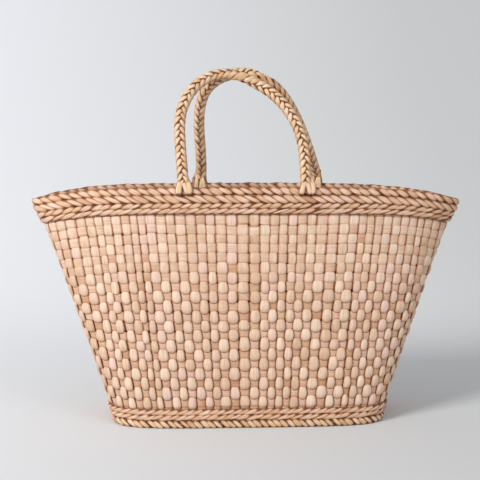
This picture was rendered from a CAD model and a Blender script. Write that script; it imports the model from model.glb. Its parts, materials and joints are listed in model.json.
import json
import math

import bpy
import numpy as np
from mathutils import Matrix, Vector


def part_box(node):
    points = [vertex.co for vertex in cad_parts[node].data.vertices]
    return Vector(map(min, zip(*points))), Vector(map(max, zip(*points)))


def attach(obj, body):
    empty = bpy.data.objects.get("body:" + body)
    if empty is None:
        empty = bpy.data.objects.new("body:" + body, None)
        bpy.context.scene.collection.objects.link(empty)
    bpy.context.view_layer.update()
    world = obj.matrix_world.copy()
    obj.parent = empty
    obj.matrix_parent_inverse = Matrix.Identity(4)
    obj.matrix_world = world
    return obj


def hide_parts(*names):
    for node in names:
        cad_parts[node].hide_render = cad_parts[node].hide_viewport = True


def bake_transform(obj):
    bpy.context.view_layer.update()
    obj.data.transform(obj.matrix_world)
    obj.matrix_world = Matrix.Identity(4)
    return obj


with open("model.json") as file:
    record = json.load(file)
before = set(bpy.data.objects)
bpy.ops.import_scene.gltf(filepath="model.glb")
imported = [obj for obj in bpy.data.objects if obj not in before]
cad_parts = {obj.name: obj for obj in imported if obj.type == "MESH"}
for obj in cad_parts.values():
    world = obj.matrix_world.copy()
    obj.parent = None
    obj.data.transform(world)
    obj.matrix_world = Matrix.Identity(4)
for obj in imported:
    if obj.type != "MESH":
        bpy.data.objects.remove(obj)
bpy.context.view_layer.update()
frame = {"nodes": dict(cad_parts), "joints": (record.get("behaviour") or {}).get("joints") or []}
dice = np.random.default_rng(41)
print("frame loaded:", len(frame["nodes"]), "nodes")

# The wall's reference surface, with the measures of the CAD, in metres
wall = {
    "baseLength": 0.270,
    "baseDepth": 0.122,
    "baseRoundness": 5.0,
    "mouthLength": 0.438,
    "mouthDepth": 0.074,
    "mouthRoundness": 2.15,
    "height": 0.240,
    "flare": 0.03,
    "endDroop": 0.014,
    "droopPower": 5,
    "stakeCount": 90,
    "rowCount": 20,
    "rowTall": 0.0068,
    "seat": 0.001,  # stakes behind the cords lie this far inside
    "highest": 1.05,  # the surface goes on to this share of the height
}

rowNames = [f"weft_row_{k + 1:02d}" for k in range(wall["rowCount"])]
rowHeights = np.array([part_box(name)[1][2] - wall["rowTall"] / 2 for name in rowNames])
rowPitch = float(np.mean(np.diff(rowHeights)))


def outlineSizes(height):
    rise = np.clip(np.asarray(height, float) / wall["height"], 0.0, wall["highest"])
    opened = rise * (1 - wall["flare"]) + wall["flare"] * rise**3
    halfLength = (wall["baseLength"] * (1 - opened) + wall["mouthLength"] * opened) / 2
    halfDepth = (wall["baseDepth"] * (1 - rise) + wall["mouthDepth"] * rise) / 2
    power = wall["baseRoundness"] * (1 - rise) + wall["mouthRoundness"] * rise
    return halfLength, halfDepth, power


# Places on the wall by share of the way round, sampled once and then looked up
tableLow, tableHigh, tableLevels, tableShares = -0.006, 0.254, 131, 1440


def makeTable():
    turn = np.linspace(0, 2 * math.pi, 2 * tableShares + 1)
    c, s = np.cos(turn), np.sin(turn)
    places = np.zeros((tableLevels, tableShares + 1, 2))
    lengths = np.zeros(tableLevels)
    shares = np.linspace(0, 1, tableShares + 1)
    for n, height in enumerate(np.linspace(tableLow, tableHigh, tableLevels)):
        halfLength, halfDepth, power = outlineSizes(height)
        x = halfLength * np.sign(c) * np.abs(c) ** (2 / power)
        y = halfDepth * np.sign(s) * np.abs(s) ** (2 / power)
        run = np.concatenate([[0], np.cumsum(np.hypot(np.diff(x), np.diff(y)))])
        lengths[n] = run[-1]
        places[n, :, 0] = np.interp(shares * run[-1], run, x)
        places[n, :, 1] = np.interp(shares * run[-1], run, y)
    return places, lengths


tablePlaces, tableLengths = makeTable()


def lengthAt(height):
    levels = np.linspace(tableLow, tableHigh, tableLevels)
    return np.interp(height, levels, tableLengths)


def wallPoint(share, height, out):
    share, height, out = np.broadcast_arrays(
        np.asarray(share, float), np.asarray(height, float), np.asarray(out, float)
    )
    up = np.clip((height - tableLow) / (tableHigh - tableLow), 0, 1) * (tableLevels - 1)
    n = np.minimum(up.astype(int), tableLevels - 2)
    up = up - n
    around = np.mod(share, 1.0) * tableShares
    m = np.minimum(around.astype(int), tableShares - 1)
    around = around - m
    low = tablePlaces[n, m] * (1 - around)[..., None] + tablePlaces[n, m + 1] * around[..., None]
    high = tablePlaces[n + 1, m] * (1 - around)[..., None] + tablePlaces[n + 1, m + 1] * around[..., None]
    flat = low * (1 - up)[..., None] + high * up[..., None]
    halfLength, halfDepth, power = outlineSizes(height)
    x, y = flat[..., 0], flat[..., 1]
    nx = np.sign(x) * np.abs(x / halfLength) ** (power - 1) / halfLength
    ny = np.sign(y) * np.abs(y / halfDepth) ** (power - 1) / halfDepth
    size = np.hypot(nx, ny)
    rise = np.clip(height / wall["height"], 0, wall["highest"])
    reach = np.minimum(np.abs(x / halfLength), 1.0)
    droop = wall["endDroop"] * rise**1.5 * reach ** wall["droopPower"]
    return np.stack([x + nx / size * out, y + ny / size * out, height - droop], axis=-1)


def smooth(edge0, edge1, x):
    t = np.clip((x - edge0) / (edge1 - edge0), 0, 1)
    return t * t * (3 - 2 * t)


def ringWave(share, count, amount):
    total = np.zeros(len(share))
    for n in range(count):
        size = dice.normal(0, amount)
        total += size * np.sin(2 * math.pi * (n + 2) * share + dice.uniform(0, 2 * math.pi))
    return total


# Strands are rings of points joined by quads, with where each point lies on its strand
def newStore():
    return {"points": [], "quads": [], "place": [], "tone": [], "shade": [], "size": 0}


def section(count, squareness):
    turn = 2 * math.pi * np.arange(count) / count
    c, s = np.cos(turn), np.sin(turn)
    across = np.sign(c) * np.abs(c) ** (2 / squareness)
    outward = np.sign(s) * np.abs(s) ** (2 / squareness)
    return across, outward


def addStrand(store, grid, strand, closed=False):
    rings, around = grid.shape[:2]
    index = store["size"] + np.arange(rings * around).reshape(rings, around)
    here = index if closed else index[:-1]
    ahead = np.roll(index, -1, axis=0) if closed else index[1:]
    corners = [here, np.roll(here, -1, axis=1), np.roll(ahead, -1, axis=1), ahead]
    store["quads"].append(np.stack(corners, axis=-1).reshape(-1, 4))
    if not closed:
        for ring, turned in ((index[0], False), (index[-1], True)):
            a, b = ring[: around // 2], ring[::-1][: around // 2]
            cap = np.stack([a[:-1], b[:-1], b[1:], a[1:]], axis=-1)
            store["quads"].append(cap[:, ::-1] if turned else cap)

    def spread(value):
        value = np.asarray(value, float)
        if value.ndim == 1:
            value = value[:, None]
        return np.broadcast_to(value, (rings, around)).reshape(-1)

    store["points"].append(grid.reshape(-1, 3))
    seed = dice.random()
    place = [spread(strand["along"]), spread(strand["across"]), spread(seed)]
    store["place"].append(np.stack(place, axis=-1))
    store["tone"].append(np.stack([spread(strand[key]) for key in ("tone", "hue", "burnt")], axis=-1))
    store["shade"].append(spread(strand["shade"]))
    store["size"] += rings * around


def makePiece(name, store, material, body, nodes):
    points = np.concatenate(store["points"])
    quads = np.concatenate(store["quads"])
    mesh = bpy.data.meshes.new(name)
    mesh.vertices.add(len(points))
    mesh.vertices.foreach_set("co", points.reshape(-1))
    mesh.loops.add(quads.size)
    mesh.loops.foreach_set("vertex_index", quads.reshape(-1).astype(np.int32))
    mesh.polygons.add(len(quads))
    mesh.polygons.foreach_set("loop_start", np.arange(0, quads.size, 4, dtype=np.int32))
    mesh.polygons.foreach_set("use_smooth", np.ones(len(quads), bool))
    for key, values in (("strandPlace", store["place"]), ("strandTone", store["tone"])):
        layer = mesh.attributes.new(key, "FLOAT_VECTOR", "POINT")
        layer.data.foreach_set("vector", np.concatenate(values).reshape(-1))
    shade = mesh.attributes.new("strandShade", "FLOAT", "POINT")
    shade.data.foreach_set("value", np.concatenate(store["shade"]))
    mesh.update(calc_edges=True)
    mesh.materials.append(material)
    piece = bpy.data.objects.new(name, mesh)
    bpy.context.scene.collection.objects.link(piece)
    if body:
        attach(piece, body)
    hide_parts(*nodes)
    return piece


# Materials
def colour(text):
    parts = [int(text[i : i + 2], 16) / 255 for i in (0, 2, 4)]
    return [p / 12.92 if p <= 0.04045 else ((p + 0.055) / 1.055) ** 2.4 for p in parts] + [1.0]


def socket(group, name, kind, direction, value=None):
    made = group.interface.new_socket(name=name, in_out=direction, socket_type=kind)
    if value is not None:
        made.default_value = value
    return made


def makeFibreGroup():
    group = bpy.data.node_groups.new("rushFibre", "ShaderNodeTree")
    socket(group, "Fibre Width", "NodeSocketFloat", "INPUT", 0.0005)
    socket(group, "Fibre Length", "NodeSocketFloat", "INPUT", 0.02)
    socket(group, "Fibre", "NodeSocketFloat", "OUTPUT")
    socket(group, "Blotch", "NodeSocketFloat", "OUTPUT")
    socket(group, "Crease", "NodeSocketFloat", "OUTPUT")
    nodes, links = group.nodes, group.links
    given = nodes.new("NodeGroupInput")
    result = nodes.new("NodeGroupOutput")
    place = nodes.new("ShaderNodeAttribute")
    place.attribute_name = "strandPlace"
    apart = nodes.new("ShaderNodeSeparateXYZ")
    links.new(place.outputs["Vector"], apart.inputs[0])

    def maths(kind, first, second):
        node = nodes.new("ShaderNodeMath")
        node.operation = kind
        for n, value in enumerate((first, second)):
            if isinstance(value, (int, float)):
                node.inputs[n].default_value = value
            else:
                links.new(value, node.inputs[n])
        return node.outputs[0]

    def noise(x, y, detail):
        joined = nodes.new("ShaderNodeCombineXYZ")
        links.new(x, joined.inputs[0])
        links.new(y, joined.inputs[1])
        links.new(maths("MULTIPLY", apart.outputs[2], 37.0), joined.inputs[2])
        texture = nodes.new("ShaderNodeTexNoise")
        texture.inputs["Scale"].default_value = 1.0
        texture.inputs["Detail"].default_value = detail
        texture.inputs["Roughness"].default_value = 0.6
        links.new(joined.outputs[0], texture.inputs["Vector"])
        return texture.outputs["Fac"]

    along = maths("DIVIDE", apart.outputs[0], given.outputs["Fibre Length"])
    across = maths("DIVIDE", apart.outputs[1], given.outputs["Fibre Width"])
    links.new(noise(along, across, 3.0), result.inputs["Fibre"])
    wide = maths("MULTIPLY", across, 0.12)
    links.new(noise(maths("MULTIPLY", along, 2.0), wide, 2.0), result.inputs["Blotch"])
    coarse = maths("MULTIPLY", across, 0.35)
    links.new(noise(maths("MULTIPLY", along, 0.5), coarse, 1.0), result.inputs["Crease"])
    return group


def makeToneGroup():
    group = bpy.data.node_groups.new("rushTone", "ShaderNodeTree")
    for name in toneNames:
        socket(group, name, "NodeSocketColor", "INPUT")
    socket(group, "Fibre", "NodeSocketFloat", "INPUT", 0.5)
    socket(group, "Blotch", "NodeSocketFloat", "INPUT", 0.5)
    socket(group, "Color", "NodeSocketColor", "OUTPUT")
    nodes, links = group.nodes, group.links
    given = nodes.new("NodeGroupInput")
    result = nodes.new("NodeGroupOutput")
    tone = nodes.new("ShaderNodeAttribute")
    tone.attribute_name = "strandTone"
    shade = nodes.new("ShaderNodeAttribute")
    shade.attribute_name = "strandShade"
    apart = nodes.new("ShaderNodeSeparateXYZ")
    links.new(tone.outputs["Vector"], apart.inputs[0])

    def spanned(value, low, high, toLow=0.0, toHigh=1.0, kind="SMOOTHSTEP"):
        node = nodes.new("ShaderNodeMapRange")
        node.interpolation_type = kind
        for name, number in zip(("From Min", "From Max", "To Min", "To Max"), (low, high, toLow, toHigh)):
            node.inputs[name].default_value = number
        links.new(value, node.inputs["Value"])
        return node.outputs["Result"]

    def blended(share, first, second, kind="MIX"):
        node = nodes.new("ShaderNodeMix")
        node.data_type = "RGBA"
        node.blend_type = kind
        if isinstance(share, float):
            node.inputs[0].default_value = share
        else:
            links.new(share, node.inputs[0])
        links.new(first, node.inputs[6])
        links.new(second, node.inputs[7])
        return node.outputs[2]

    mixed = nodes.new("ShaderNodeMath")
    mixed.operation = "ADD"
    links.new(apart.outputs[0], mixed.inputs[0])
    links.new(spanned(given.outputs["Blotch"], 0.25, 0.75, -0.14, 0.14), mixed.inputs[1])
    base = blended(spanned(mixed.outputs[0], 0.0, 0.5), given.outputs["Dark"], given.outputs["Middle"])
    base = blended(spanned(mixed.outputs[0], 0.45, 1.0), base, given.outputs["Pale"])
    base = blended(spanned(apart.outputs[1], 0.45, 0.95, 0.0, 0.8), base, given.outputs["Pink"])
    base = blended(spanned(apart.outputs[1], 0.03, 0.01, 0.0, 0.5), base, given.outputs["Olive"])
    base = blended(apart.outputs[2], base, given.outputs["Burnt"])
    lines = spanned(given.outputs["Fibre"], 0.3, 0.7, 0.78, 1.09, "LINEAR")
    grey = nodes.new("ShaderNodeCombineColor")
    for n in range(3):
        links.new(lines, grey.inputs[n])
    lined = blended(1.0, base, grey.outputs[0], "MULTIPLY")
    creased = blended(1.0, lined, given.outputs["Crease"], "MULTIPLY")
    links.new(blended(spanned(shade.outputs["Fac"], 0.0, 1.0), lined, creased), result.inputs["Color"])
    return group


toneNames = ("Dark", "Middle", "Pale", "Pink", "Olive", "Burnt", "Crease")
fibreGroup = makeFibreGroup()
toneGroup = makeToneGroup()


def makeRush(name, settings):
    material = bpy.data.materials.new(name)
    material.use_nodes = True
    nodes, links = material.node_tree.nodes, material.node_tree.links
    shader = nodes["Principled BSDF"]
    fibre = nodes.new("ShaderNodeGroup")
    fibre.node_tree = fibreGroup
    fibre.inputs["Fibre Width"].default_value = settings["fibreWidth"]
    fibre.inputs["Fibre Length"].default_value = settings["fibreLength"]
    tone = nodes.new("ShaderNodeGroup")
    tone.node_tree = toneGroup
    for key in toneNames:
        tone.inputs[key].default_value = colour(settings[key.lower()])
    links.new(fibre.outputs["Fibre"], tone.inputs["Fibre"])
    links.new(fibre.outputs["Blotch"], tone.inputs["Blotch"])
    links.new(tone.outputs["Color"], shader.inputs["Base Color"])
    rough = nodes.new("ShaderNodeMapRange")
    rough.inputs["To Min"].default_value = settings["roughLow"]
    rough.inputs["To Max"].default_value = settings["roughHigh"]
    links.new(fibre.outputs["Blotch"], rough.inputs["Value"])
    links.new(rough.outputs["Result"], shader.inputs["Roughness"])
    height = nodes.new("ShaderNodeMath")
    height.operation = "MULTIPLY_ADD"
    height.inputs[1].default_value = 0.6
    links.new(fibre.outputs["Crease"], height.inputs[0])
    links.new(fibre.outputs["Fibre"], height.inputs[2])
    bump = nodes.new("ShaderNodeBump")
    bump.inputs["Strength"].default_value = settings["bump"]
    bump.inputs["Distance"].default_value = 0.0004
    links.new(height.outputs[0], bump.inputs["Height"])
    links.new(bump.outputs["Normal"], shader.inputs["Normal"])
    shader.inputs["Specular IOR Level"].default_value = 0.35
    return material


flatRush = makeRush("flatRush", {
    "dark": "BE8F6C", "middle": "D5B193", "pale": "E6CBB3", "pink": "E2C0B0", "olive": "D0BA90",
    "burnt": "BC7E54", "crease": "C8A286", "fibreWidth": 0.0007, "fibreLength": 0.02,
    "roughLow": 0.5, "roughHigh": 0.72, "bump": 0.8,
})
twinedRush = makeRush("twinedRush", {
    "dark": "BE8A66", "middle": "DAB18F", "pale": "EACBAF", "pink": "E2BDA6", "olive": "D0B88C",
    "burnt": "B87C54", "crease": "A27C5E", "fibreWidth": 0.0007, "fibreLength": 0.02,
    "roughLow": 0.48, "roughHigh": 0.7, "bump": 0.8,
})
braidedRush = makeRush("braidedRush", {
    "dark": "BE8B5A", "middle": "DDB48A", "pale": "F2DABC", "pink": "E6C2A4", "olive": "D2B98A",
    "burnt": "AC7446", "crease": "7E5A3E", "fibreWidth": 0.0007, "fibreLength": 0.02,
    "roughLow": 0.45, "roughHigh": 0.68, "bump": 0.8,
})
print("materials made")


# Where each stake crosses each row, with the unevenness of hand work
stakes = {
    "low": 0.0045,
    "high": 0.2330,
    "footStep": 0.004,  # between the rings under the first row and over the last
    "widthSpread": 0.15,
    "widthLimits": (0.7, 1.35),
    "sideWobble": 0.0005,
    "sideUneven": 0.4,
    "rowWobble": 0.0006,
    "cellWobble": 0.0004,
    "steps": 10,
    "around": 12,
    "flatFrom": 0.110,  # the weave is puffy below this height and flat above the next
    "flatTo": 0.200,
    # From here the first number is for the puffy weave and the second for the flat weave
    "overShare": (0.40, 0.10),  # how much longer a stake is seen than the row it crosses
    "reach": (0.0019, 0.00105),
    "outMiddle": (0.0003, 0.0002),
    "thick": (0.00135, 0.00085),
    "crown": (0.66, 0.52),  # power that rounds the wave
    "neckWidth": (0.76, 0.84),
    "crownWidth": (0.31, 0.19),
    "edgeShade": (0.7, 0.95),
    "diveShade": (0.9, 0.55),
    "diveEnds": (0.30, 0.15),
    "taper": 0.09,  # how much wider a crossing is at its lower end
    "swell": 0.12,  # how much thicker the crown is
    "bow": 0.0011,  # how far the ends of a crossing bulge past its sides
    "squareness": (2.15, 3.2),
    "burnt": 0.45,
    "endShare": 0.045,
}
stakeCount, rowCount = wall["stakeCount"], wall["rowCount"]


def upperShare(height):
    return smooth(stakes["flatFrom"], stakes["flatTo"], height)


def between(low, high, share):
    return low + (high - low) * share


def makeCrossings():
    widths = np.clip(dice.normal(1.0, stakes["widthSpread"], stakeCount), *stakes["widthLimits"])
    widths /= widths.sum()
    edges = np.concatenate([[0], np.cumsum(widths)])
    places = (edges[1:] + edges[:-1]) / 2
    heights = np.zeros((rowCount, stakeCount))
    sideways = np.zeros((rowCount, stakeCount))
    lean = dice.normal(0, 1, (3, stakeCount))
    for k in range(rowCount):
        uneven = dice.normal(0, stakes["cellWobble"], stakeCount)
        heights[k] = rowHeights[k] + ringWave(places, 3, stakes["rowWobble"]) + uneven
        sway = sum(lean[n] * math.sin((n + 1) * k / rowCount * math.pi) / (n + 1) for n in range(3))
        sideways[k] = stakes["sideWobble"] * (sway + dice.normal(0, stakes["sideUneven"], stakeCount))
    return widths, places, heights, sideways


def makeTones():
    shape = (rowCount, stakeCount)
    tones = {
        "stakeTone": 0.72 + dice.normal(0, 0.09, stakeCount)[None, :] + dice.normal(0, 0.12, shape),
        "stakeHue": dice.random(shape) * 0.6 + dice.random(stakeCount)[None, :] * 0.4,
        "rowTone": 0.48 + dice.normal(0, 0.07, rowCount)[:, None] + dice.normal(0, 0.12, shape),
        "rowHue": dice.random(shape),
        "rowBurnt": np.where(dice.random(shape) > 0.92, dice.uniform(0.2, 0.55, shape), 0.0),
        "puff": 1 + dice.normal(0, 0.11, shape),
    }
    for key in ("stakeTone", "rowTone"):
        tones[key] = np.clip(tones[key], 0.0, 1.0)
    return tones


stakeWidths, stakeShares, crossHeights, crossSides = makeCrossings()
cells = makeTones()
# 1 where a stake runs in front of its row, -1 where it runs behind
inFront = np.where((np.arange(stakeCount)[None, :] + np.arange(rowCount)[:, None]) % 2 == 0, 1, -1)


def stakeLadder(heights):
    step = stakes["footStep"]
    ladder = [stakes["low"], stakes["low"] + step, stakes["low"] + 2 * step]
    for k in range(rowCount):
        below = (heights[k] - heights[k - 1] if k else rowPitch) / 2
        above = (heights[k + 1] - heights[k] if k < rowCount - 1 else rowPitch) / 2
        rungs = np.linspace(heights[k] - below, heights[k] + above, stakes["steps"], endpoint=False)
        ladder += list(rungs)
    top = heights[-1] + rowPitch / 2
    return np.array(ladder + [top, top + step] + list(np.linspace(top + 2 * step, stakes["high"], 3)))


def makeStake(store, i):
    heights = crossHeights[:, i]
    h = stakeLadder(heights)
    knots = np.concatenate([[heights[0] - rowPitch], heights, [heights[-1] + rowPitch]])
    count = np.interp(h, knots, np.arange(-1, rowCount + 1))
    cell = np.clip(np.round(count).astype(int), 0, rowCount - 1)
    over = inFront[cell, i]
    front = np.clip(np.where(over > 0, cell, cell + np.where(count >= cell, 1, -1)), 0, rowCount - 1)
    upper = upperShare(h)

    def mixed(key):
        return between(*stakes[key], upper)

    bias = mixed("overShare")
    plain = np.cos(math.pi * (count - cell)) * over + bias
    wave = np.where(plain > 0, plain / (1 + bias), plain / (1 - bias))
    inRows = smooth(-0.75, -0.3, count) * (1 - smooth(rowCount - 0.7, rowCount - 0.25, count))
    rounded = np.sign(wave) * np.abs(wave) ** mixed("crown")
    puff = cells["puff"][front, i]
    reach = mixed("reach") * puff
    out = (mixed("outMiddle") + reach * rounded) * inRows - wall["seat"] * (1 - inRows)
    # How much of the strand is seen, and 1 at the lower end of a crossing to -1 at its upper end
    shown = np.clip(wave, 0, 1) ** 0.5
    lower = np.clip((front - count) / 0.6, -1.1, 1.1) * smooth(-0.4, 0.1, wave)
    pinch = mixed("neckWidth") + mixed("crownWidth") * shown
    pinch = pinch + stakes["taper"] * (1 - upper) * lower * shown
    half = stakeWidths[i] * lengthAt(h) / 2 * pinch * puff**0.4
    thick = mixed("thick") * (1 + stakes["swell"] * wave)
    side = np.interp(h, heights, crossSides[:, i])
    roundAcross, roundOut = section(stakes["around"], stakes["squareness"][0])
    flatAcross, flatOut = section(stakes["around"], stakes["squareness"][1])
    across = between(roundAcross[None, :], flatAcross[None, :], upper[:, None])
    outward = between(roundOut[None, :], flatOut[None, :], upper[:, None])
    share = stakeShares[i] + (side[:, None] + across * half[:, None]) / lengthAt(h)[:, None]
    bowed = h[:, None] - (stakes["bow"] * lower * (1 - 0.7 * upper))[:, None] * (1 - across**2)
    grid = wallPoint(share, bowed, out[:, None] + outward * thick[:, None])
    edge = smooth(0.74, 1.0, np.abs(across)) * mixed("edgeShade")[:, None]
    dive = (1 - smooth(0.0, mixed("diveEnds"), wave)) * mixed("diveShade")
    hidden = np.where(inRows < 0.5, 0.9, 0.0)
    shade = np.maximum(edge, np.maximum(dive, hidden)[:, None])
    burnt = smooth(0.35, 1.0, lower) * stakes["burnt"] * (1 - 0.5 * upper)
    addStrand(store, grid, {
        "along": h, "across": across * half[:, None], "tone": cells["stakeTone"][front, i],
        "hue": cells["stakeHue"][front, i], "burnt": burnt, "shade": shade,
    })


def makeStakes():
    groups = {"stakes_right_end": [], "stakes_back": [], "stakes_left_end": [], "stakes_front": []}
    for i in range(stakeCount):
        share = (i + 0.5) / stakeCount
        if share < stakes["endShare"] or share > 1 - stakes["endShare"]:
            groups["stakes_right_end"].append(i)
        elif abs(share - 0.5) < stakes["endShare"]:
            groups["stakes_left_end"].append(i)
        else:
            groups["stakes_back" if share < 0.5 else "stakes_front"].append(i)
    for node, members in groups.items():
        store = newStore()
        for i in members:
            makeStake(store, i)
        makePiece(node + "_woven", store, flatRush, "basket", [node])
    print("stakes woven:", stakeCount)


makeStakes()


# Weft rows wave against the stakes
rows = {
    "steps": 10,
    "around": 10,
    "squareness": 3.0,
    "thick": 0.00095,
    "tall": 0.485,  # half the band's height as a share of the pitch
    "neck": 0.08,  # how much less tall it is behind a stake
    "reach": 0.0009,
    "crown": 0.55,
    "outMiddle": (-0.0004, 0.0001),
    "edgeShade": 0.5,
    "diveShade": (0.8, 0.9),
    "likeStakes": 0.7,  # how near the flat weave's colours come to the stakes'
    "darker": 0.08,
    "burnt": 0.2,
}


def makeRow(k):
    q = np.arange(stakeCount * rows["steps"]) / rows["steps"]
    index = np.arange(-1, stakeCount + 1)
    wrapped = index % stakeCount
    share = np.interp(q, index, stakeShares[wrapped] + np.floor(index / stakeCount))
    middle = np.interp(q, index, crossHeights[k][wrapped])
    cell = np.round(q).astype(int) % stakeCount
    wave = -np.cos(math.pi * (q - np.round(q))) * inFront[k][cell]
    upper = upperShare(middle)
    rounded = np.sign(wave) * np.abs(wave) ** rows["crown"]
    out = between(*rows["outMiddle"], upper) + rows["reach"] * rounded
    tall = rowPitch * rows["tall"] * (1 - rows["neck"] * (wave < 0) * np.abs(wave))
    across, outward = section(rows["around"], rows["squareness"])
    heights = middle[:, None] + across[None, :] * tall[:, None]
    grid = wallPoint(share[:, None], heights, out[:, None] + outward[None, :] * rows["thick"])
    edge = smooth(0.85, 1.0, np.abs(across))[None, :] * rows["edgeShade"]
    dive = (1 - smooth(0.05, 0.5, wave)) * between(*rows["diveShade"], upper)
    alike = rows["likeStakes"] * upper
    stakeTone = cells["stakeTone"][k][cell] - rows["darker"]
    store = newStore()
    addStrand(store, grid[:, ::-1], {
        "along": share * lengthAt(rowHeights[k]), "across": across[None, ::-1] * tall[:, None],
        "tone": between(cells["rowTone"][k][cell], stakeTone, alike),
        "hue": between(cells["rowHue"][k][cell], cells["stakeHue"][k][cell], alike),
        "burnt": np.maximum(cells["rowBurnt"][k][cell], rows["burnt"] * (1 - upper)),
        "shade": np.maximum(edge, dive[:, None])[:, ::-1],
    }, closed=True)
    makePiece(rowNames[k] + "_strand", store, flatRush, "basket", [rowNames[k]])


for k in range(rowCount):
    makeRow(k)
print("weft rows laid:", rowCount)


# Twined cords: plies that wind round the cord's middle as it goes round the basket
def makeCord(node, settings, material=twinedRush):
    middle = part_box(node)[1][2] - settings["cadTall"] / 2
    length = float(lengthAt(middle))
    plies, strands = settings["plies"], settings["strands"]
    steps = strands * settings["steps"]
    share = np.arange(steps) / steps
    reachUp = settings["tall"] / 2 - settings["deep"]
    reachOut = settings["thick"] / 2 - settings["deep"]
    across, outward = section(settings["around"], 2.2)
    store = newStore()
    for ply in range(plies):
        angle = settings["lay"] * 2 * math.pi * strands / plies * share
        angle = angle + 2 * math.pi * ply / plies + ringWave(share, 5, 0.11)
        up = np.arcsin(settings["straight"] * np.sin(angle)) / math.asin(settings["straight"]) * reachUp
        out = np.sign(np.cos(angle)) * np.abs(np.cos(angle)) ** 0.75 * reachOut
        waver = ringWave(share, 3, 0.0002)
        line = np.stack([share * length, middle + up + waver, settings["out"] + out], axis=-1)
        ahead = np.roll(line, -1, axis=0) - np.roll(line, 1, axis=0)
        ahead[[0, -1], 0] += length
        ahead /= np.linalg.norm(ahead, axis=1)[:, None]
        normal = np.stack([np.zeros(steps), np.sin(angle) * 0.8, np.cos(angle) * 1.5], axis=-1)
        normal -= (normal * ahead).sum(1)[:, None] * ahead
        normal /= np.linalg.norm(normal, axis=1)[:, None]
        aside = np.cross(ahead, normal)
        lean = settings["lean"]
        normal, aside = (
            normal * math.cos(lean) + aside * math.sin(lean),
            aside * math.cos(lean) - normal * math.sin(lean),
        )
        number = np.floor(angle / math.pi - 0.5).astype(int)
        number -= number.min()
        fat = 1 + dice.normal(0, 0.13, number.max() + 1)[number]
        fat = np.convolve(np.concatenate([fat[-3:], fat, fat[:3]]), np.ones(7) / 7, "valid")
        half = settings["half"] * fat * (0.70 + 0.30 * np.abs(np.cos(angle)) ** 0.7)
        points = (
            line[:, None, :]
            + aside[:, None, :] * (across[None, :] * half[:, None])[..., None]
            + normal[:, None, :] * (outward[None, :] * settings["deep"])[..., None]
        )
        heights = np.maximum(points[..., 1], settings["floor"])
        grid = wallPoint(points[..., 0] / length, heights, points[..., 2])
        tones = np.clip(settings["tone"] + dice.normal(0, 0.14, number.max() + 1), 0, 1)
        edge = smooth(0.66, 1.0, np.abs(across))[None, :] * 0.9
        ends = smooth(0.82, 1.0, np.abs(np.sin(angle)))[:, None]
        addStrand(store, grid, {
            "along": share * length * 1.1, "across": across[None, :] * half[:, None],
            "tone": tones[number], "hue": dice.random(number.max() + 1)[number],
            "burnt": 0.45 * smooth(0.5, 1.0, np.abs(np.sin(angle))), "shade": np.maximum(edge, ends),
        }, closed=True)
    makePiece(node + "_twined", store, material, "basket", [node])


def cordSettings(tall, cadTall, thick, out, plies, strands, lay, deep, half, **more):
    settings = {
        "tall": tall, "cadTall": cadTall, "thick": thick, "out": out, "plies": plies, "strands": strands,
        "lay": lay, "deep": deep, "half": half, "steps": 12, "around": 12, "straight": 0.94,
        "lean": 0.20 * lay, "tone": 0.55, "floor": -1.0,
    }
    settings.update(more)
    return settings


makeCord("rim_roll", cordSettings(0.0080, 0.0068, 0.0082, 0.0014, 3, 90, -1, 0.0017, 0.0029))
makeCord("rim_fat_cord", cordSettings(0.0092, 0.0079, 0.0072, 0.0026, 4, 92, -1, 0.0017, 0.0028))
makeCord("rim_thin_cord_upper", cordSettings(0.0064, 0.0050, 0.0062, 0.0021, 3, 90, 1, 0.0014, 0.0023))
makeCord("rim_thin_cord_lower", cordSettings(0.0064, 0.0050, 0.0060, 0.0019, 4, 92, 1, 0.0013, 0.0021))
makeCord("foot_cord_lowest", cordSettings(
    0.0088, 0.0080, 0.0072, 0.0026, 3, 108, -1, 0.0017, 0.0024, floor=0.0, tone=0.5,
), braidedRush)
makeCord("foot_cord_middle", cordSettings(0.0064, 0.0048, 0.0064, 0.0024, 4, 92, 1, 0.0014, 0.0021))
makeCord("foot_cord_top", cordSettings(0.0062, 0.0048, 0.0064, 0.0022, 4, 92, 1, 0.0014, 0.0021))
print("cords twined")


# The base mat: strands along and across, woven flat
mat = {
    "pitch": 0.0078, "thick": 0.0009, "middle": 0.0020, "wave": 0.0009, "top": 0.0042, "inset": 0.0006,
    "steps": 6, "around": 10, "wobble": 0.0002,
}


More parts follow.
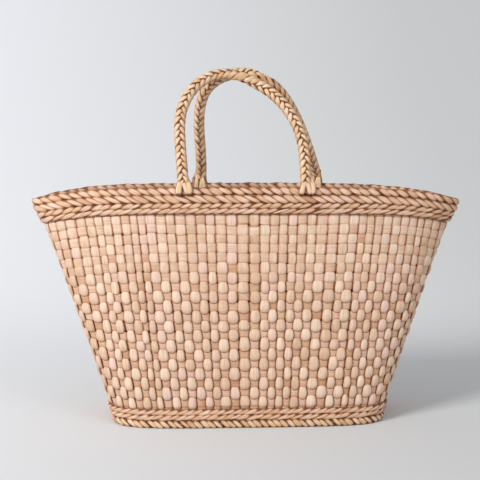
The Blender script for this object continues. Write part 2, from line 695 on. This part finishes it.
def makeMatStrand(store, axis, n, number, reach, side, power):
    pitch = 2 * side / number
    place = -side + (n + 0.5) * pitch
    outer = min(abs(place) + pitch * 0.2, side)
    end = reach * (1 - (outer / side) ** power) ** (1 / power)
    stations = max(4, int(2 * end / mat["pitch"] * mat["steps"]))
    run = np.linspace(-end, end, stations)
    crossed = 2 * reach / round(2 * reach / mat["pitch"])
    wave = np.cos(math.pi * ((run + reach) / crossed - 0.5))
    sign = (1 if n % 2 == 0 else -1) * (1 if axis == 0 else -1)
    lift = mat["middle"] + sign * mat["wave"] * wave
    ripple = mat["wobble"] * np.sin(run * 90 + dice.uniform(0, 2 * math.pi))
    line = place + dice.normal(0, mat["wobble"]) + ripple
    half = pitch * 0.5 * (0.94 + 0.05 * np.abs(wave))
    across, outward = section(mat["around"], 3.0)
    a = np.broadcast_to(run[:, None], (stations, mat["around"]))
    b = line[:, None] + across[None, :] * half[:, None]
    c = np.clip(lift[:, None] + outward[None, :] * mat["thick"], 0.0, mat["top"])
    grid = np.stack([a, b, c] if axis == 0 else [b, a, c], axis=-1)
    edge = smooth(0.7, 1.0, np.abs(across))[None, :] * 0.7
    addStrand(store, grid[:, ::-1] if axis == 0 else grid, {
        "along": run, "across": across[None, :] * half[:, None],
        "tone": np.full(stations, np.clip(dice.normal(0.5, 0.12), 0, 1)),
        "hue": np.full(stations, dice.random()), "burnt": np.zeros(stations), "shade": edge,
    })


def makeBaseMat():
    halfLength, halfDepth, power = [float(v) for v in outlineSizes(0.0)]
    sizes = (halfLength - mat["inset"], halfDepth - mat["inset"])
    store = newStore()
    for axis, (reach, side) in enumerate((sizes, sizes[::-1])):
        number = round(2 * side / mat["pitch"])
        for n in range(number):
            makeMatStrand(store, axis, n, number, reach, side, power)
    makePiece("base_mat_woven", store, flatRush, "basket", ["base_mat"])
    print("base mat woven")


makeBaseMat()


# Handles: a plait of flat bundles along each arch, and strand ends spread over the rim
handles = {
    "footSpacing": 0.124,
    "rise": 0.111,
    "radius": 0.006,
    "seat": 0.0003,
    "below": 0.0035,  # the plait goes on this far below its hinge
    "bundles": 5,
    "plaitPitch": 0.0073,
    "swing": 0.0040,
    "depth": 0.0027,
    "halfWide": 0.0027,
    "halfThick": 0.0018,
    "around": 14,
    "station": 0.0008,
    "twistFrom": 0.42,
    "twistTo": 0.66,
    "bendBelow": 0.004,  # the plait bends between these heights about its hinge
    "bendAbove": 0.010,
    "frontShift": -0.006,
    "backShift": 0.0145,
}
# Shares of half the foot spacing and of the rise
frontArch = [
    (-1.0, 0.0), (-1.02, 0.14), (-1.05, 0.38), (-1.06, 0.60), (-0.92, 0.80), (-0.68, 0.95),
    (-0.30, 1.02), (0.10, 0.955), (0.55, 0.80), (0.86, 0.57), (1.0, 0.33), (1.0, 0.0),
]
backArch = [
    (-1.0, 0.0), (-1.0, 0.18), (-1.04, 0.40), (-1.055, 0.60), (-1.0, 0.80), (-0.80, 0.95),
    (-0.38, 1.03), (0.0, 0.985), (0.34, 0.84), (0.60, 0.60), (0.82, 0.32), (1.0, 0.0),
]
hinges = {joint["name"]: joint for joint in frame["joints"]}


def splinePoints(poles, count):
    poles = np.asarray(poles, float)
    spans = len(poles) - 3
    knots = np.concatenate([[0] * 3, np.arange(spans + 1), [spans] * 3]).astype(float)
    values = np.linspace(0, spans - 1e-9, count)
    result = []
    for t in values:
        k = int(t) + 3
        near = [poles[k - 3 + j].copy() for j in range(4)]
        for r in range(1, 4):
            for j in range(3, r - 1, -1):
                left, right = knots[j + k - 3], knots[j + 1 + k - r]
                share = 0.0 if right == left else (t - left) / (right - left)
                near[j] = near[j - 1] * (1 - share) + near[j] * share
        result.append(near[3])
    return np.array(result)


def archLine(shares, shift, side):
    hinge = np.array(hinges["front_handle_swing" if side < 0 else "back_handle_swing"]["pos_m"], float)
    half, rise = handles["footSpacing"] / 2, handles["rise"]
    lean = math.asin((abs(hinge[1]) - handles["radius"] - handles["seat"]) / rise)
    flat = splinePoints([(shift + x * half, z * rise) for x, z in shares], 900)
    drop = np.linspace(-handles["below"], 0, 12)[:-1]
    flat = np.concatenate([
        np.stack([np.full(11, flat[0, 0]), drop], axis=-1), flat,
        np.stack([np.full(11, flat[-1, 0]), drop[::-1]], axis=-1),
    ])
    up = flat[:, 1]
    leaned = np.maximum(up, 0)
    line = np.stack([
        flat[:, 0], hinge[1] - side * leaned * math.sin(lean), hinge[2] + up * math.cos(lean),
    ], axis=-1)
    return line, np.array([0.0, side * math.cos(lean), math.sin(lean)])


def unit(ways):
    return ways / np.linalg.norm(ways, axis=1)[:, None]


def evenNormals(normal, way):
    for n in range(1, len(normal)):
        if normal[n] @ normal[n - 1] < 0:
            normal[n] = -normal[n]
    for n in range(3):
        ends = np.concatenate([np.repeat(normal[:1, n], 3), normal[:, n], np.repeat(normal[-1:, n], 3)])
        normal[:, n] = np.convolve(ends, np.ones(7) / 7, "valid")
    return unit(normal - (normal * way).sum(1)[:, None] * way)


def makeBundle(store, bundle, line, along, face, aside):
    period = handles["bundles"] * handles["plaitPitch"]
    wander = 0.09 * np.sin(along * 61 + dice.uniform(0, 2 * math.pi))
    wander += 0.08 * np.sin(along * 143 + dice.uniform(0, 2 * math.pi))
    angle = 2 * math.pi * (along / period + bundle / handles["bundles"]) + wander
    sway = np.arcsin(0.93 * np.sin(angle)) / math.asin(0.93)
    lift = -np.sin(2 * angle)
    path = line + aside * (handles["swing"] * sway)[:, None] + face * (handles["depth"] * lift)[:, None]
    way = unit(np.gradient(path, axis=0))
    normal = face * (np.sign(lift) * np.abs(lift) ** 0.6)[:, None] + aside * (sway * 0.95)[:, None]
    normal = evenNormals(unit(normal - (normal * way).sum(1)[:, None] * way), way)
    beside = np.cross(way, normal)
    number = np.floor(angle / math.pi).astype(int)
    number -= number.min()
    tones = np.clip(dice.normal(0.62, 0.13, number.max() + 1), 0, 1)
    half = handles["halfWide"] * (1 + 0.08 * np.sin(along * 97 + dice.uniform(0, 2 * math.pi)))
    across, outward = section(handles["around"], 2.2)
    grid = (
        path[:, None, :]
        + beside[:, None, :] * (across[None, :] * half[:, None])[..., None]
        + normal[:, None, :] * (outward[None, :] * handles["halfThick"])[..., None]
    )
    edge = smooth(0.68, 1.0, np.abs(across))[None, :] * 0.9
    sideways = np.abs(np.sin(angle))
    dive = 1 - smooth(0.0, 0.24, sideways)
    addStrand(store, grid, {
        "along": along, "across": across[None, :] * half[:, None], "tone": tones[number],
        "hue": dice.random(number.max() + 1)[number], "burnt": 0.3 * smooth(0.8, 1.0, sideways),
        "shade": np.maximum(edge, dive[:, None]),
    })


def makeHandle(word, shares, shift, side):
    line, outwardWay = archLine(shares, shift, side)
    run = np.concatenate([[0], np.cumsum(np.linalg.norm(np.diff(line, axis=0), axis=1))])
    along = np.linspace(0, run[-1], int(run[-1] / handles["station"]))
    line = np.stack([np.interp(along, run, line[:, n]) for n in range(3)], axis=-1)
    ahead = unit(np.gradient(line, axis=0))
    plainAside = unit(np.cross(outwardWay[None, :], ahead))
    plainFace = np.cross(ahead, plainAside)
    twist = math.pi * smooth(handles["twistFrom"], handles["twistTo"], along / run[-1])[:, None]
    face = plainFace * np.cos(twist) + plainAside * np.sin(twist)
    aside = plainAside * np.cos(twist) - plainFace * np.sin(twist)
    store = newStore()
    for bundle in range(handles["bundles"]):
        makeBundle(store, bundle, line, along, face, aside)
    node = f"{word}_handle"
    piece = makePiece(node + "_plait", store, braidedRush, None, [node])
    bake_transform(piece)


tails = {
    "count": 4, "wide": 0.0028, "thick": 0.0018, "topSpread": 0.0070, "spread": 0.0178, "steps": 28,
    "around": 12, "top": 0.2550, "outerEnd": 0.2334, "innerEnd": 0.2145,
    "rollMiddle": 0.2366, "rollOut": 0.0014, "over": 0.0056, "overTall": 0.0105, "neck": 0.0008,
    "neckLow": 0.2440, "neckTop": 0.2535, "innerOut": -0.0044,
}


def makeTail(store, n, face, share, length):
    t = np.linspace(0, 1, tails["steps"])
    h = tails["top"] + (tails["outerEnd" if face > 0 else "innerEnd"] - tails["top"]) * t
    place = (n + 0.5) / tails["count"] - 0.5
    shift = place * between(tails["topSpread"], tails["spread"], smooth(0.05, 0.9, t))
    shift = shift + 0.0016 * np.sin(2.6 * t + 2.4 * n) + dice.normal(0, 0.0003)
    around = np.sqrt(np.clip(1 - ((h - tails["rollMiddle"]) / tails["overTall"]) ** 2, 0.02, 1))
    surface = tails["rollOut"] + face * tails["over"] * around
    neck = tails["rollOut"] + face * tails["neck"]
    spreading = smooth(tails["neckTop"], tails["neckLow"] + 0.0005, h)
    out = np.where(h > tails["neckLow"], neck + (surface - neck) * spreading, surface)
    if face < 0:
        out = np.where(h < tails["rollMiddle"], np.minimum(out, tails["innerOut"]), out)
    half = tails["wide"] * (0.30 + 0.70 * smooth(0.0, 0.5, t)) * (1 - 0.35 * smooth(0.8, 1.0, t))
    across, outward = section(tails["around"], 2.2)
    shares = share + (shift[:, None] + across[None, :] * half[:, None]) / length
    grid = wallPoint(shares, h[:, None], out[:, None] + outward[None, :] * tails["thick"])
    edge = smooth(0.68, 1.0, np.abs(across))[None, :] * 0.9
    ends = np.maximum(smooth(0.86, 1.0, t), 1 - smooth(0.0, 0.14, t))[:, None]
    addStrand(store, grid[:, ::-1], {
        "along": h, "across": across[None, ::-1] * half[:, None],
        "tone": np.full(len(t), np.clip(dice.normal(0.6, 0.12), 0, 1)),
        "hue": np.full(len(t), dice.random()),
        "burnt": 0.4 * smooth(0.8, 1.0, t), "shade": np.maximum(edge, ends)[:, ::-1],
    })


def makeTails(word, end, x, side):
    trial = np.linspace(0, 1, 4001)
    rim = wallPoint(trial, np.full(4001, wall["height"]), np.zeros(4001))
    good = np.sign(rim[:, 1]) == side
    share = trial[good][np.argmin(np.abs(rim[good, 0] - x))]
    length = float(lengthAt(wall["height"]))
    store = newStore()
    for n in range(tails["count"]):
        for face in (1, -1):
            makeTail(store, n, face, share, length)
    node = f"{word}_{end}_tails"
    makePiece(node + "_strands", store, braidedRush, "basket", [node])


for word, side, shares in (("front", -1, frontArch), ("back", 1, backArch)):
    shift = handles[word + "Shift"]
    makeHandle(word, shares, shift, side)
    makeTails(word, "left", shift - handles["footSpacing"] / 2, side)
    makeTails(word, "right", shift + handles["footSpacing"] / 2, side)
print("handles plaited")


# Floor, backdrop, lamps and camera
studio = {
    "floorFront": -3.0, "floorBack": 2.1, "bend": 1.7, "wallTop": 3.6, "halfWide": 4.0, "bends": 24,
    "pale": "F6F7FA", "grey": "DDDEDD",
}


def makeBackdrop():
    bend = studio["bend"]
    profile = [(studio["floorFront"], 0.0), (-1.0, 0.0), (0.0, 0.0), (studio["floorBack"] - bend, 0.0)]
    for n in range(1, studio["bends"] + 1):
        a = math.pi / 2 * n / studio["bends"]
        profile.append((studio["floorBack"] - bend + bend * math.sin(a), bend - bend * math.cos(a)))
    profile.append((studio["floorBack"], studio["wallTop"]))
    verts, faces = [], []
    for y, z in profile:
        verts += [(-studio["halfWide"], y, z), (studio["halfWide"], y, z)]
    for n in range(len(profile) - 1):
        faces.append((2 * n, 2 * n + 1, 2 * n + 3, 2 * n + 2))
    mesh = bpy.data.meshes.new("backdrop")
    mesh.from_pydata(verts, [], faces)
    mesh.update()
    for face in mesh.polygons:
        face.use_smooth = True
    sweep = bpy.data.objects.new("backdrop", mesh)
    bpy.context.scene.collection.objects.link(sweep)
    material = bpy.data.materials.new("paleBackdrop")
    material.use_nodes = True
    nodes, links = material.node_tree.nodes, material.node_tree.links
    shader = nodes["Principled BSDF"]
    place = nodes.new("ShaderNodeTexCoord")
    apart = nodes.new("ShaderNodeSeparateXYZ")
    links.new(place.outputs["Object"], apart.inputs[0])
    span = nodes.new("ShaderNodeMapRange")
    for name, number in zip(("From Min", "From Max"), (-0.5, 0.5)):
        span.inputs[name].default_value = number
    links.new(apart.outputs[0], span.inputs["Value"])
    mix = nodes.new("ShaderNodeMix")
    mix.data_type = "RGBA"
    mix.inputs[6].default_value = colour(studio["pale"])
    mix.inputs[7].default_value = colour(studio["grey"])
    links.new(span.outputs["Result"], mix.inputs["Factor"])
    risen = nodes.new("ShaderNodeMapRange")
    risen.interpolation_type = "SMOOTHSTEP"
    for name, number in zip(("From Min", "From Max", "To Min", "To Max"), (-0.45, 0.75, 0.74, 1.0)):
        risen.inputs[name].default_value = number
    links.new(apart.outputs[1], risen.inputs["Value"])
    shaded = nodes.new("ShaderNodeVectorMath")
    shaded.operation = "SCALE"
    links.new(mix.outputs[2], shaded.inputs[0])
    links.new(risen.outputs["Result"], shaded.inputs["Scale"])
    links.new(shaded.outputs[0], shader.inputs["Base Color"])
    shader.inputs["Roughness"].default_value = 0.9
    shader.inputs["Specular IOR Level"].default_value = 0.1
    mesh.materials.append(material)


def addLamp(name, place, aim, size, energy, tint=(1, 1, 1)):
    lamp = bpy.data.lights.new(name, "AREA")
    lamp.shape = "DISK"
    lamp.size = size
    lamp.energy = energy
    lamp.color = tint
    thing = bpy.data.objects.new(name, lamp)
    bpy.context.scene.collection.objects.link(thing)
    thing.location = place
    way = np.array(aim, float) - np.array(place, float)
    thing.rotation_euler = aimAt(way)
    return thing


def aimAt(way):
    flat = math.hypot(way[0], way[1])
    return (math.atan2(flat, -way[2]), 0.0, math.atan2(-way[0], way[1]))


makeBackdrop()
addLamp("windowLeft", (-1.5, -1.3, 1.35), (0, 0, 0.15), 0.9, 45, (1.0, 0.985, 0.97))
addLamp("softRight", (1.8, -2.0, 1.2), (0, 0, 0.15), 1.6, 17, (0.99, 0.99, 1.0))
world = bpy.data.worlds.new("studio")
world.use_nodes = True
world.node_tree.nodes["Background"].inputs["Color"].default_value = (0.93, 0.96, 1.0, 1.0)
world.node_tree.nodes["Background"].inputs["Strength"].default_value = 0.50
bpy.context.scene.world = world

view = {
    "focalShare": 2.356,  # focal length as a share of the picture's width
    "distance": 1.176, "eyeHeight": 0.317, "aimX": -0.008, "turn": -3.7, "pitch": 6.5, "roll": 0.25,
}


def makeCamera():
    camera = bpy.data.cameras.new("camera")
    camera.sensor_width = 36
    camera.lens = view["focalShare"] * camera.sensor_width
    thing = bpy.data.objects.new("camera", camera)
    bpy.context.scene.collection.objects.link(thing)
    turned = Matrix.Rotation(math.radians(view["turn"]), 4, "Z")
    thing.matrix_world = (
        turned
        @ Matrix.Translation((view["aimX"], -view["distance"], view["eyeHeight"]))
        @ Matrix.Rotation(math.radians(90 - view["pitch"]), 4, "X")
        @ Matrix.Rotation(math.radians(view["roll"]), 4, "Z")
    )
    bpy.context.scene.camera = thing


makeCamera()
bpy.context.scene.view_settings.view_transform = "Standard"
print("studio set")
